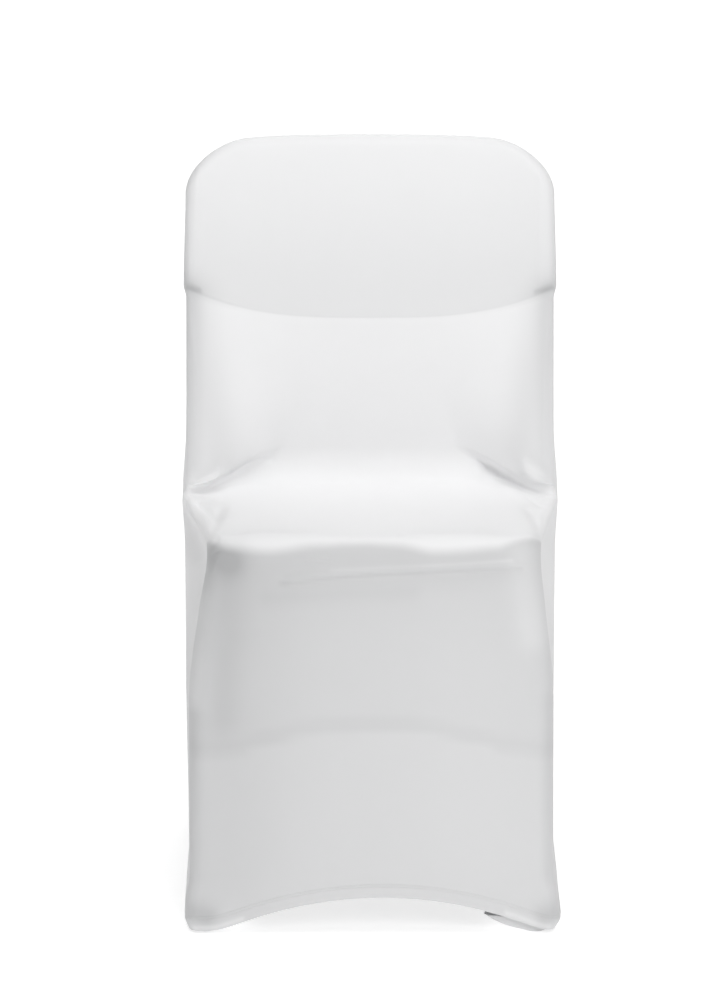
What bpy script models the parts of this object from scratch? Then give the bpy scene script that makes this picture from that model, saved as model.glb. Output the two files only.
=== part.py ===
# Fitted stretch-knit cover, hollow and open below, in the taut shape that it has in use.
# Metres, +Z up, the front towards -Y, the origin on the floor at the middle of the cover.
import math

import bmesh
import bpy
import numpy as np

NAME = "folding_chair_cover"

# Driving dimensions
CLOTH = 0.002            # thickness of the cloth
GAP = 0.0009             # between two pieces that are sewn edge to edge
SIDE_GAP = 0.0008        # the same along the side seams, whose edges lean
DEPTH = 0.488            # from the front of the skirt to the back hem
RIM = 0.0145             # radius of the rounded rim of the back
CORNER = 0.078           # radius of the back's two top corners
UPPER_BACK_BOW = 0.215   # where the bow of the upper back reaches its sides
LIFT = 0.0035            # height of the hems at the four feet
FOOT_DISC = 0.013        # radius of the flat underside of a foot pocket
POCKET_HEIGHT = 0.024    # how far a foot pocket reaches up inside the panels
POCKET_REACH = 0.060     # how far a foot pocket runs along each hem
POCKET_CLEAR = 0.0016    # between a foot pocket and the panels around it
SKIRT_LEAN = 0.15        # how far the skirt leans back for each metre up
HEM_SOFTNESS = 0.003     # how softly a bowed hem runs out level at its feet
HEM_EASE = 1.5           # how late down the skirt its rows start to bow like the hem
BOW_POWER = 3            # how late towards its sides the upper back starts to bow
BOW_END, BOW_FADE = 3.0, 1.0  # place on the front run where that bow has faded, and over how much

# The front panel's run from the top rim to the hem, down its middle and down its sides.
# Each row is a corner of that run, in metres behind the skirt's foot (y) and above the floor (z),
# with the radius of its bend.
FRONT_RUN = (
    # name, middle y, middle z, middle bend, side y, side z, side bend
    ("top rim", 0.391, 0.8673, 0.0, 0.376, 0.858, 0.0),
    ("step below the upper back", 0.318, 0.660, 0.030, 0.316, 0.695, 1.200),
    ("rear of the seat", 0.306, 0.468, 0.040, 0.236, 0.468, 0.022),
    ("front of the seat", 0.062, 0.463, 0.022, 0.107, 0.442, 0.014),
    ("hem", 0.001, 0.0450, 0.0, 0.0145, 0.0450, 0.0),
)

# Widths along that run. The place is counted in its pieces: 0 to 1 is the upper back, 2 to 3 the lower
# back, 4 to 5 the seat, 6 to 7 the skirt, and the others are the bends between them.
FRONT_WIDTHS = (
    # place, half width, shift to the right, turned edge, turned back (0 or 1), flat to x, sides from x
    (0.00, 0.2165, 0.0000, RIM, 0.0, 0.000, UPPER_BACK_BOW),
    (0.60, 0.2199, 0.0000, RIM, 0.0, 0.000, UPPER_BACK_BOW),
    (1.00, 0.2212, 0.0000, RIM, 0.0, 0.000, UPPER_BACK_BOW),
    (2.04, 0.2178, 0.0000, 0.0135, 0.0, 0.000, 0.215),
    (2.40, 0.2176, 0.0000, 0.0130, 0.0, 0.060, 0.206),
    (3.00, 0.2180, 0.0000, 0.0125, 0.0, 0.100, 0.206),
    (3.60, 0.2215, 0.0000, 0.0080, 0.0, 0.140, 0.212),
    (4.00, 0.2180, 0.0005, 0.0070, 0.0, 0.150, 0.210),
    (4.50, 0.2050, 0.0030, 0.0120, 0.4, 0.165, 0.202),
    (5.00, 0.1965, 0.0045, 0.0220, 1.0, 0.170, 0.196),
    (6.00, 0.1955, 0.0045, 0.0400, 1.0, 0.150, 0.196),
    (6.15, 0.2030, 0.0025, 0.0360, 1.0, 0.150, 0.200),
    (6.40, 0.2140, 0.0014, 0.0250, 1.0, 0.150, 0.210),
    (6.86, 0.2138, 0.0016, 0.0160, 1.0, 0.150, 0.210),
    (6.94, 0.2203, 0.0028, 0.0140, 1.0, 0.150, 0.210),
    (6.97, 0.2207, 0.0032, 0.0135, 1.0, 0.150, 0.210),
    (7.00, 0.2150, 0.0022, 0.0130, 1.0, 0.150, 0.210),
)

# Folds of the front panel: from one place (x, place along the run) to another, with the half width
# of the fold and how far it stands out (a hollow is negative).
FRONT_FOLDS = (
    # name, x, place, x, place, half width, height
    ("left dimple", -0.164, 3.10, -0.150, 3.08, 0.009, -0.005),
    ("tail of the left dimple", -0.148, 3.08, -0.120, 3.22, 0.006, -0.002),
    ("right dimple", 0.140, 3.34, 0.154, 3.38, 0.009, -0.004),
    ("left ridge to the side point", -0.216, 3.20, -0.178, 3.02, 0.006, 0.0060),
    ("right ridge to the side point", 0.216, 3.08, 0.184, 2.96, 0.006, 0.0060),
    ("hollow under the left ridge", -0.200, 3.62, -0.170, 3.55, 0.011, -0.0015),
    ("hollow under the right ridge", 0.202, 3.60, 0.178, 3.55, 0.010, -0.0015),
    ("left facet crease", -0.178, 4.40, -0.190, 4.85, 0.008, -0.003),
    ("right facet crease", 0.186, 4.40, 0.196, 4.85, 0.008, -0.003),
    ("seat crown", -0.060, 4.45, 0.060, 4.45, 0.070, 0.003),
    ("left lobe of the seat's edge", -0.140, 5.50, -0.090, 5.50, 0.028, 0.006),
    ("right lobe of the seat's edge", 0.060, 5.50, 0.120, 5.50, 0.030, 0.0045),
    ("hollow under the left seat corner", -0.170, 6.02, -0.166, 6.22, 0.020, -0.005),
    ("crease under the seat's edge", -0.095, 6.07, 0.165, 6.03, 0.006, 0.0018),
    ("upper band of the skirt", -0.130, 6.13, 0.120, 6.10, 0.012, 0.0012),
    ("bulge over the left foot", -0.204, 6.95, -0.196, 6.95, 0.018, 0.0035),
    ("bulge over the right foot", 0.204, 6.95, 0.196, 6.95, 0.018, 0.0035),
)
# The step where the upper back stands proud: height at the middle and at the sides, where that
# change starts and how far it takes, and between which places on the run the step falls away
STEP_MIDDLE, STEP_SIDES, STEP_FROM, STEP_OVER = 0.0010, 0.0032, 0.10, 0.10
STEP_START, STEP_LENGTH = 1.1, 0.8
# The low arched band across the skirt: its height, its place at the middle and how fast it arches,
# how far the cloth slopes above and below it, and where it fades to the sides
BAND_HEIGHT, BAND_PLACE, BAND_ARCH = 0.0018, 6.515, 1.7
BAND_ABOVE, BAND_BELOW, BAND_FADE_FROM, BAND_FADE_OVER = 0.070, 0.017, 0.10, 0.06

# The rear panel down its middle and down its side seams
REAR_RUN = (
    # z, middle y, side seam y, half width, turned edge
    (0.860, 0.4145, 0.3850, 0.2178, 0.0145),
    (0.785, 0.4170, 0.3643, 0.2200, 0.0300),
    (0.600, 0.4270, 0.3880, 0.2170, 0.0400),
    (0.450, 0.4430, 0.4100, 0.2130, 0.0380),
    (0.300, 0.4600, 0.4330, 0.2100, 0.0300),
    (0.100, 0.4800, 0.4640, 0.2060, 0.0170),
    (0.030, 0.4860, 0.4720, 0.2090, 0.0140),
    (0.000, 0.4880, 0.4750, 0.2060, 0.0130),
)

# The bowed hems: height at the middle of each, how sharply they fall to the feet, and where in x
# the middle lies
FRONT_HEM = (0.0450, 1.13, 0.012)
REAR_HEM = (0.0380, 1.05, 0.000)

# How a side gusset's rows run, from a place on the front seam to a height on the rear seam
GUSSET_ROWS = (
    # place on the front seam, height on the rear seam, rise of the row's middle
    (0.455, 0.780, 0.000),
    (1.00, 0.700, 0.000),
    (2.00, 0.685, 0.000),
    (3.00, 0.550, -0.010),
    (4.00, 0.460, -0.045),
    (5.00, 0.380, -0.055),
    (6.00, 0.345, -0.040),
    (7.00, 0.0035, 0.030),
)

# The two slanted ridges of a side gusset: from the side point to the front foot and to the rear foot
SIDE_POINT = (0.252, 0.472)
FRONT_FOOT = (0.016, 0.000)
REAR_FOOT = (0.470, 0.000)
FRONT_RIDGE_HALF_WIDTH = (
    # z, distance of the ridge from the middle of the cover
    (0.00, 0.2150),
    (0.10, 0.2150),
    (0.35, 0.2178),
    (0.48, 0.2205),
)
FRONT_RIDGE_SPREAD = 0.090
REAR_RIDGE_HEIGHT = 0.0025
REAR_RIDGE_SPREAD = 0.060
RIDGE_EASE = 0.20        # share of the way across over which a ridge rises from a seam

# A foot pocket: its outer corner from the middle of the cover at the front and rear, how round its
# mouth is, how its rings are spaced and cupped, which share of them is the flat disc, how high it
# reaches along the hems, over which share of its reach it falls to that, and how far its disc stands
# in from its corner
POCKET_CORNERS = (0.2145, 0.2045)
POCKET_ROUNDING = 1.6
POCKET_SPACING = 0.8
POCKET_CUP = 1.6
POCKET_FLAT_RINGS = 0.45
POCKET_HEM_HEIGHT = 0.017
POCKET_HEM_EASE = 0.5
POCKET_INSET = 0.004

# Grid lines across a panel, as shares of its half width, and along it
ACROSS = (0, 0.12, 0.24, 0.36, 0.46, 0.545, 0.62, 0.69, 0.75, 0.805, 0.855, 0.90, 0.94, 0.97, 0.992, 1.0)
CORNER_ROWS = (0, 0.025, 0.09, 0.18, 0.30, 0.44, 0.60, 0.79, 1.0)
FRONT_ROWS = (
    (0.42, 0.55, 0.68, 0.80, 0.90, 0.96, 1.0),
    (1.33, 1.67, 2.0),
    (2.04, 2.12, 2.30, 2.50, 2.70, 2.88, 3.0),
    (3.15, 3.30, 3.45, 3.57, 3.68, 3.80, 3.90, 4.0),
    (4.12, 4.28, 4.45, 4.62, 4.78, 4.90, 5.0),
    (5.2, 5.4, 5.6, 5.8, 6.0),
    (6.03, 6.06, 6.10, 6.15, 6.22, 6.30, 6.40, 6.48, 6.53, 6.57, 6.65, 6.75, 6.84, 6.90, 6.94, 6.97),
    (6.985, 7.0),
)
REAR_ACROSS = (0, 0.18, 0.36, 0.52, 0.65, 0.76, 0.85, 0.92, 0.965, 0.993, 1.0)
REAR_CORNER_ROWS = (0, 0.025, 0.12, 0.26, 0.45, 0.70, 1.0)
REAR_HEIGHTS = (
    0.785, 0.765, 0.740, 0.70, 0.64, 0.58, 0.51, 0.44, 0.37, 0.30, 0.22, 0.14, 0.08, 0.04, 0.015, 0,
)
GUSSET_ACROSS = (0, 0.01, 0.12, 0.26, 0.42, 0.58, 0.76, 0.99, 1.0)
POCKET_RINGS = (0, 0.45, 0.6, 0.75, 0.88, 1.0)
POCKET_SIDES = 20

QUARTER = math.pi / 2


def smooth(share):
    """0 to 1 with level ends, for shares from 0 to 1."""
    share = np.clip(share, 0, 1)
    return share * share * (3 - 2 * share)


def curve(at, places, values):
    """A curve through the values at the places that never overshoots them."""
    places, values = np.array(places, float), np.array(values, float)
    steps, rises = np.diff(places), np.diff(values)
    slopes = rises / steps
    both = slopes[:-1] * slopes[1:] > 0
    total = np.where(both, slopes[:-1] + slopes[1:], 1)
    inner = np.where(both, 2 * slopes[:-1] * slopes[1:] / total, 0)
    tangents = np.concatenate([slopes[:1], inner, slopes[-1:]])
    at = np.clip(at, places[0], places[-1])
    k = np.clip(np.searchsorted(places, at, side="right") - 1, 0, len(steps) - 1)
    t = (at - places[k]) / steps[k]
    low, high = values[k], values[k + 1]
    bend_low = tangents[k] * steps[k] * t * (1 - t) ** 2
    bend_high = tangents[k + 1] * steps[k] * t * t * (t - 1)
    return low + (high - low) * smooth(t) + bend_low + bend_high


def column(table, number):
    return [row[number] for row in table]


def turned(cloth_in, radius):
    """How far in from the outline, and how deep behind the face, cloth lies that far in from its seam."""
    angle = np.clip(cloth_in / radius, 0, QUARTER)
    level = np.maximum(cloth_in - radius * QUARTER, 0)
    return radius * (1 - np.cos(angle)) + level, radius * (1 - np.sin(angle))


class Run:
    """A line of straight pieces and round bends in the YZ plane. Whole numbers count its pieces."""

    def __init__(self, points, bends):
        self.points = [np.array(p, float) for p in points]
        self.headings = []
        for start, end in zip(self.points, self.points[1:]):
            self.headings.append((end - start) / np.linalg.norm(end - start))
        self.bends = bends
        self.turns = [0.0]
        for before, after in zip(self.headings, self.headings[1:]):
            cross = before[0] * after[1] - before[1] * after[0]
            self.turns.append(math.atan2(cross, float(before @ after)))
        self.turns.append(0.0)
        self.trims = [r * math.tan(abs(t) / 2) for r, t in zip(self.bends, self.turns)]

    def straight(self, i):
        """Where straight piece i starts and ends."""
        start = self.points[i] + self.headings[i] * self.trims[i]
        end = self.points[i + 1] - self.headings[i] * self.trims[i + 1]
        return start, end

    def lengths(self):
        found = []
        for i in range(len(self.headings)):
            start, end = self.straight(i)
            found.append(float(np.linalg.norm(end - start)))
            if i + 1 < len(self.headings):
                found.append(self.bends[i + 1] * abs(self.turns[i + 1]))
        return found

    def at(self, place):
        """The points at these places, and the outward directions there, to the left of the run."""
        place = np.asarray(place, float)
        points, outward = np.zeros(place.shape + (2,)), np.zeros(place.shape + (2,))
        pieces = 2 * len(self.headings) - 1
        which = np.clip(np.floor(place), 0, pieces - 1).astype(int)
        for piece in range(pieces):
            here = which == piece
            share = (place[here] - piece)[:, None]
            i = piece // 2
            start, end = self.straight(i)
            heading = self.headings[i]
            if piece % 2 == 0:
                points[here] = start + (end - start) * share
                outward[here] = (heading[1], -heading[0])
            else:
                turn, radius = self.turns[i + 1], self.bends[i + 1]
                side = np.array((-heading[1], heading[0])) * math.copysign(1, turn)
                angle = turn * share
                spun = np.hstack([heading[0] * np.cos(angle) - heading[1] * np.sin(angle),
                                  heading[0] * np.sin(angle) + heading[1] * np.cos(angle)])
                spoke = np.hstack([spun[:, 1:], -spun[:, :1]]) * math.copysign(1, turn)
                points[here] = end + side * radius + spoke * radius
                outward[here] = np.hstack([spun[:, 1:], -spun[:, :1]])
        return points, outward


MIDDLE = Run([row[1:3] for row in FRONT_RUN], column(FRONT_RUN, 3))
SIDES = Run([row[4:6] for row in FRONT_RUN], column(FRONT_RUN, 6))
RUN_LENGTHS = MIDDLE.lengths()
CORNER_PLACE = CORNER / RUN_LENGTHS[0]
RUN_STARTS = np.concatenate([[0], np.cumsum(RUN_LENGTHS)])
REAR_CORNER_Z = float(SIDES.at(CORNER_PLACE)[0][1])


def along(place):
    """Metres of cloth from the top rim to these places on the front run."""
    return np.interp(place, np.arange(len(RUN_STARTS)), RUN_STARTS)


def front_width(place, number):
    return curve(place, column(FRONT_WIDTHS, 0), column(FRONT_WIDTHS, number))


def bowed_hem(x, hem):
    """The height of a hem that bows up between the feet."""
    top, fall, middle = hem
    bow = top - fall * (x - middle) ** 2
    return LIFT + np.logaddexp(0, (bow - LIFT) / HEM_SOFTNESS) * HEM_SOFTNESS


def rounded_corner(share, corner_row, half, edge):
    """Places on a panel whose two top corners are round, the cloth turned over a rim all round.

    share runs across from -1 to 1, corner_row is 0 on the top seam and 1 and more below the corners.
    The square of grid lines in each corner is drawn in to a quarter disc. Gives x, the distance
    below the top rim inside the corner rows, and the share of the turn, 1 on the seam and 0 inside.
    """
    spare = (QUARTER - 1) * edge
    corner = CORNER + spare
    reach = np.abs(share) * (half + spare)
    out = np.maximum(reach - (half - CORNER), 0)
    up = corner * np.maximum(1 - corner_row, 0)
    drawn_out = out * np.sqrt(1 - up ** 2 / (2 * corner ** 2))
    drawn_up = up * np.sqrt(1 - out ** 2 / (2 * corner ** 2))
    radial = np.hypot(drawn_out, drawn_up)
    inward, depth = turned(corner - radial, edge)
    scale = (CORNER - inward) / np.maximum(radial, 1e-9)
    x = np.sign(share) * (np.minimum(reach, half - CORNER) + drawn_out * scale)
    return x, CORNER - drawn_up * scale, depth / edge


def step_height(x, place):
    """How far the upper back stands proud of the lower back: most at the sides."""
    height = STEP_MIDDLE + (STEP_SIDES - STEP_MIDDLE) * smooth((np.abs(x) - STEP_FROM) / STEP_OVER)
    return height * (1 - smooth((place - STEP_START) / STEP_LENGTH))


def arched_band(x, place):
    """A low band across the skirt, which rises slowly and falls back fast."""
    above = along(BAND_PLACE + BAND_ARCH * x ** 2) - along(place)
    rise = smooth(1 - above / BAND_ABOVE) * (above >= 0)
    fall = smooth(1 + above / BAND_BELOW) * (above < 0)
    return BAND_HEIGHT * (rise + fall) * (1 - smooth((np.abs(x) - BAND_FADE_FROM) / BAND_FADE_OVER))


def fold_heights(x, place):
    """How far the folds push the front panel out at these places."""
    length = along(place)
    height = step_height(x, place) + arched_band(x, place)
    for _, x0, place0, x1, place1, width, rise in FRONT_FOLDS:
        start = np.array((x0, along(place0)))
        run = np.array((x1, along(place1))) - start
        share = np.clip(((x - start[0]) * run[0] + (length - start[1]) * run[1]) / (run @ run), 0, 1)
        apart = np.hypot(x - start[0] - share * run[0], length - start[1] - share * run[1])
        height += rise * np.exp(-(apart / width) ** 2)
    return height


def front_surface(share, row):
    """Outer face of the front panel: x from the widths, y and z between the middle and side runs."""
    level = np.maximum(row, CORNER_PLACE)
    half, shift, edge, back = (front_width(level, n) for n in (1, 2, 3, 4))
    x, below, turn = rounded_corner(share, row / CORNER_PLACE, half, edge)
    place = np.where(row < CORNER_PLACE, below / RUN_LENGTHS[0], row)
    flat_to, sides_from = front_width(place, 5), front_width(place, 6)
    sided = np.clip((np.abs(x) - flat_to) / (sides_from - flat_to), 0, 1)
    bowed = smooth((BOW_END - place) / BOW_FADE)
    sided = sided ** BOW_POWER * bowed + smooth(sided) * (1 - bowed)
    sided = back * turn + (1 - back) * sided
    middle, middle_out = MIDDLE.at(place)
    sides, sides_out = SIDES.at(place)
    yz = middle + (sides - middle) * sided[..., None]
    out = middle_out + (sides_out - middle_out) * sided[..., None]
    out /= np.linalg.norm(out, axis=-1, keepdims=True)
    yz = yz - out * (edge * (1 - back) * turn)[..., None]
    yz = yz + out * (fold_heights(x, place) * (1 - turn))[..., None]
    hem = (bowed_hem(x, FRONT_HEM) - FRONT_HEM[0]) * np.clip(place - 6, 0, 1) ** HEM_EASE
    return np.stack([x + shift, yz[..., 0], yz[..., 1] + hem], axis=-1)


def front_seam(place, side):
    """The front panel's seam on one side, at these places on its run."""
    place = np.asarray(place, float)
    return front_surface(np.full(place.shape, float(side)), place)


def rear_width(z, number):
    rows = REAR_RUN[::-1]
    return curve(z, column(rows, 0), column(rows, number))


def rear_seam_y(z):
    """How far back the rear panel's side seam is: behind the front seam down to the gussets' tops."""
    shared = front_seam([GUSSET_ROWS[0][0], CORNER_PLACE], 1)
    above = np.interp(z, shared[:, 2], shared[:, 1])
    return np.where(z > shared[0, 2], above, rear_width(z, 2))


def rear_surface(share, row):
    """Outer face of the rear panel. row is 0 to 1 in the corners and 1 to 2 from there to the hem."""
    below_corner = np.clip(row - 1, 0, 1)
    z_side = REAR_CORNER_Z * (1 - below_corner)
    half, edge = rear_width(z_side, 3), rear_width(z_side, 4)
    x, below, turn = rounded_corner(share, row, half, edge)
    place = np.where(row < 1, below / RUN_LENGTHS[0], CORNER_PLACE)
    sided = np.clip(np.abs(x) / UPPER_BACK_BOW, 0, 1)[..., None] ** BOW_POWER
    middle, middle_out = MIDDLE.at(place)
    sides, sides_out = SIDES.at(place)
    out = middle_out + (sides_out - middle_out) * sided
    rim = middle + (sides - middle) * sided - out * RIM
    z = rim[..., 1] * (1 - below_corner) + bowed_hem(x, REAR_HEM) * below_corner
    seam_y = np.where(row > 1, rear_seam_y(z), rim[..., 0])
    y = seam_y + GAP + (rear_width(z, 1) - seam_y - GAP) * (1 - turn)
    return np.stack([x, y, z], axis=-1)


def rear_seam(z, side):
    """The rear panel's side seam at these heights, below the corners."""
    z = np.asarray(z, float)
    unlifted = (z - LIFT) / (1 - LIFT / REAR_CORNER_Z)
    return np.stack([side * rear_width(unlifted, 3), rear_seam_y(z), z], axis=-1)


def slanted_ridge(y, z, foot, spread):
    """1 over the line from the side point to that foot and less to each side of it."""
    start, end = np.array(SIDE_POINT), np.array(foot)
    run = end - start
    share = np.clip(((y - start[0]) * run[0] + (z - start[1]) * run[1]) / (run @ run), 0, 1)
    apart = np.hypot(y - start[0] - share * run[0], z - start[1] - share * run[1])
    return 1 - smooth(apart / spread)


def gusset_surface(across, place, side):
    """Outer face of a side gusset, stretched from the front seam (across 0) to the rear seam (1)."""
    inward = -SIDE_GAP * SIDES.at(place)[1]
    front = front_seam(place, side) + np.concatenate([np.zeros(place.shape + (1,)), inward], axis=-1)
    rear_z, rise = (curve(place, column(GUSSET_ROWS, 0), column(GUSSET_ROWS, n)) for n in (1, 2))
    rear = rear_seam(rear_z, side)
    points = front + (rear - front) * across[..., None]
    points[..., 2] += rise * 4 * across * (1 - across)
    y, z = points[..., 1], points[..., 2]
    ridge_x = np.interp(z, column(FRONT_RIDGE_HALF_WIDTH, 0), column(FRONT_RIDGE_HALF_WIDTH, 1))
    front_ridge = slanted_ridge(y, z, FRONT_FOOT, FRONT_RIDGE_SPREAD) * smooth(across / RIDGE_EASE)
    rear_ridge = slanted_ridge(y, z, REAR_FOOT, REAR_RIDGE_SPREAD) * smooth(across / RIDGE_EASE)
    rear_ridge *= smooth((1 - across) / RIDGE_EASE)
    points[..., 0] += side * np.maximum(ridge_x - np.abs(points[..., 0]), 0) * front_ridge
    points[..., 0] += side * REAR_RIDGE_HEIGHT * rear_ridge
    return points


def pocket_surface(ring, turn, side, rear):
    """Outer face of a foot pocket, from the middle of its flat underside (ring 0) out to its mouth (1).

    The underside is a disc on the floor. The mouth is a three-cornered line: one corner in the corner
    of the two panels, one along each hem.
    """
    wall = CLOTH + POCKET_CLEAR
    corner = np.array((POCKET_CORNERS[int(rear)] - wall, wall))
    centre = corner + np.array((-1, 1)) * (FOOT_DISC + POCKET_INSET)
    angle = turn * 2 * math.pi
    toward = np.stack([np.cos(angle), -np.sin(angle)], axis=-1)
    to_corner = np.stack([toward[..., 0] > 0, toward[..., 1] < 0], axis=-1)
    limits = np.where(to_corner, FOOT_DISC + POCKET_INSET, POCKET_REACH)
    power = POCKET_ROUNDING
    reach = np.sum((np.abs(toward) / limits) ** power, axis=-1) ** (-1 / power)
    out = np.clip((ring - POCKET_FLAT_RINGS) / (1 - POCKET_FLAT_RINGS), 0, 1)
    disc = FOOT_DISC * np.minimum(ring / POCKET_FLAT_RINGS, 1)
    distance = disc + (reach - FOOT_DISC) * out ** POCKET_SPACING
    along_hem = smooth((reach - FOOT_DISC) / (POCKET_REACH - FOOT_DISC) / POCKET_HEM_EASE)
    height = (POCKET_HEIGHT + (POCKET_HEM_HEIGHT - POCKET_HEIGHT) * along_hem) * out ** POCKET_CUP
    x = centre[0] + toward[..., 0] * distance
    y = centre[1] + toward[..., 1] * distance + SKIRT_LEAN * height
    if rear:
        y = DEPTH - y
    return np.stack([side * x, y, height], axis=-1)


def material(name, colour, roughness):
    made = bpy.data.materials.new(name)
    made.use_nodes = True
    surface = made.node_tree.nodes["Principled BSDF"]
    surface.inputs["Base Color"].default_value = (*colour, 1.0)
    surface.inputs["Roughness"].default_value = roughness
    surface.inputs["Metallic"].default_value = 0.0
    return made


def sheet(name, points, colour, flip, round_grid=False):
    """A cloth piece from the grid of points on its outer face, given its thickness inward."""
    rows, columns = points.shape[:2]
    moved = points - np.array((0, DEPTH / 2, 0))
    mesh = bpy.data.meshes.new(name)
    work = bmesh.new()
    grid = [[work.verts.new(p) for p in line] for line in moved]
    for i in range(rows - 1):
        for j in range(columns - 1):
            corners = (grid[i][j], grid[i + 1][j], grid[i + 1][j + 1], grid[i][j + 1])
            work.faces.new(corners[::-1] if flip else corners)
    if round_grid:
        bmesh.ops.remove_doubles(work, verts=work.verts, dist=0.00001)
    work.to_mesh(mesh)
    work.free()
    mesh.shade_smooth()
    made = bpy.data.objects.new(name, mesh)
    mesh.materials.append(material(name + "_cloth", colour, 0.85))
    thickness = made.modifiers.new("cloth thickness", "SOLIDIFY")
    thickness.thickness = CLOTH
    thickness.offset = -1
    return made


def front_panel():
    lines = [-x for x in ACROSS[:0:-1]] + list(ACROSS)
    rows = [CORNER_PLACE * step for step in CORNER_ROWS] + sum(map(list, FRONT_ROWS), [])
    share, row = np.meshgrid(lines, rows)
    return sheet("front_panel", front_surface(share, row), (0.88, 0.88, 0.88), False)


def rear_panel():
    lines = [-x for x in REAR_ACROSS[:0:-1]] + list(REAR_ACROSS)
    rows = list(REAR_CORNER_ROWS) + [2 - height / REAR_CORNER_Z for height in REAR_HEIGHTS]
    share, row = np.meshgrid(lines, rows)
    return sheet("rear_panel", rear_surface(share, row), (0.86, 0.86, 0.87), True)


def side_gusset(name, side):
    apex = GUSSET_ROWS[0][0]
    places = [apex] + [place for place in sum(map(list, FRONT_ROWS), []) if place > apex]
    across, place = np.meshgrid(GUSSET_ACROSS, places)
    points = gusset_surface(across, place, side)
    return sheet(name, points, (0.84, 0.85, 0.86), side < 0)


def foot_pocket(name, side, rear):
    turn, ring = np.meshgrid(np.linspace(0, 1, POCKET_SIDES + 1), POCKET_RINGS)
    points = pocket_surface(ring, turn, side, rear)
    return sheet(name, points, (0.80, 0.81, 0.82), (side < 0) != rear, True)


def main():
    for old in list(bpy.data.objects):
        bpy.data.objects.remove(old, do_unlink=True)
    pieces = [front_panel(), rear_panel()]
    for side, hand in ((-1, "left"), (1, "right")):
        pieces.append(side_gusset("side_panel_" + hand, side))
        for rear, end in ((False, "front"), (True, "rear")):
            pieces.append(foot_pocket("foot_pocket_" + end + "_" + hand, side, rear))
    collection = bpy.data.collections.new(NAME)
    bpy.context.scene.collection.children.link(collection)
    for piece in pieces:
        collection.objects.link(piece)


main()
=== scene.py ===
"""Looks of a fitted stretch-knit cover: its taut panels, hems, seams, foot pockets, finish and stage."""
import math

import bmesh
import bpy
import numpy as np
from bpy.props import FloatProperty, FloatVectorProperty, PointerProperty
from bpy.types import Operator, Panel, PropertyGroup
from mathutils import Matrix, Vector


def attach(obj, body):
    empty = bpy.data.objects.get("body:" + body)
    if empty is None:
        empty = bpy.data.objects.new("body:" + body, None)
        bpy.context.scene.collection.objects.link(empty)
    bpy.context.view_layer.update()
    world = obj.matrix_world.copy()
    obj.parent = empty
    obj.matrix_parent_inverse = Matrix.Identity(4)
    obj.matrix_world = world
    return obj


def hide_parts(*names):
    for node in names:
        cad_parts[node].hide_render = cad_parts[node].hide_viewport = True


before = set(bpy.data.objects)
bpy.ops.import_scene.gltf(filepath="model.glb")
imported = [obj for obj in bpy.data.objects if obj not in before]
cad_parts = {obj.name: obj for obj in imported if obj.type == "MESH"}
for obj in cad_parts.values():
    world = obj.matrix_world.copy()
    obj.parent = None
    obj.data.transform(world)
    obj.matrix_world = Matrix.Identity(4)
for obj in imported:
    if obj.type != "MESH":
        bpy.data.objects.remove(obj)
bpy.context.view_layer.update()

bl_info = {
    "name": "Fitted stretch cover",
    "version": (1, 0, 0),
    "blender": (4, 5, 0),
    "location": "3D View > Sidebar > Cover",
    "description": "Makes a taut knit cover with its hems, seams, foot pockets, finish and stage",
    "category": "Object",
}

# Sizes of the whole cover, in metres. Distances behind are counted from the foot of the skirt.
DEPTH = 0.488
RIM = 0.0145
CORNER = 0.078
UPPER_BACK_BOW = 0.215
LIFT = 0.0035
HEM_SOFTNESS = 0.003
HEM_EASE = 1.5
BOW_POWER = 3
BOW_END, BOW_FADE = 3.0, 1.0
FOOT_DISC = 0.013
POCKET_HEIGHT = 0.024
POCKET_REACH = 0.06
POCKET_WALL = 0.0036
SKIRT_LEAN = 0.15
QUARTER = math.pi / 2
TINY = 1e-12

# The front panel's run from the top rim to the hem, down its middle and down its sides.
FRONT_RUN = (
    # name, middle behind, middle up, middle bend, side behind, side up, side bend
    ("top rim", 0.391, 0.8673, 0.0, 0.376, 0.858, 0.0),
    ("step below the upper back", 0.318, 0.66, 0.03, 0.316, 0.695, 1.2),
    ("rear of the seat", 0.306, 0.468, 0.04, 0.236, 0.468, 0.022),
    ("front of the seat", 0.062, 0.463, 0.022, 0.107, 0.442, 0.014),
    ("hem", 0.001, 0.045, 0.0, 0.0145, 0.045, 0.0),
)

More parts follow.
